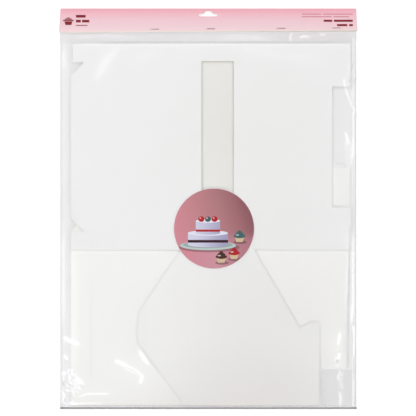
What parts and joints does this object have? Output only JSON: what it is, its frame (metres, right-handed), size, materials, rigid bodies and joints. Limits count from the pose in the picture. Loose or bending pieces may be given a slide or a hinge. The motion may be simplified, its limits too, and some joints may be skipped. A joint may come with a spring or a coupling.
{
  "type": "retail pack of a flat-folded cupcake box",
  "caption": "White windowed cupcake carton, glued and folded flat with its loose tray, in a clear bag under a stapled pink header card with a hang slot and a round sticker.",
  "frame": {"origin": "middle of the pack's back, on the surface that it lies on", "axes": "+Y up the pack from the bag's bottom weld to the header card's fold, +Z the way the front of the pack faces, +X to the right seen from the front"},
  "size_m": [0.492, 0.661, 0.0044],
  "materials": {
    "bag_film": "gloss",
    "white_board": "satin",
    "tray_board": "satin",
    "pane_film": "gloss",
    "pink_card": "satin",
    "printed_label": "gloss",
    "staple_wire": "satin"
  },
  "bodies": {
    "root": {"clear_bag": "bag_film", "carton": "white_board", "cupcake_tray": "tray_board", "window_pane": "pane_film", "header_card": "pink_card", "round_sticker": "printed_label", "staple_1": "staple_wire", "staple_2": "staple_wire", "staple_3": "staple_wire", "staple_4": "staple_wire"}
  },
  "joints": []
}
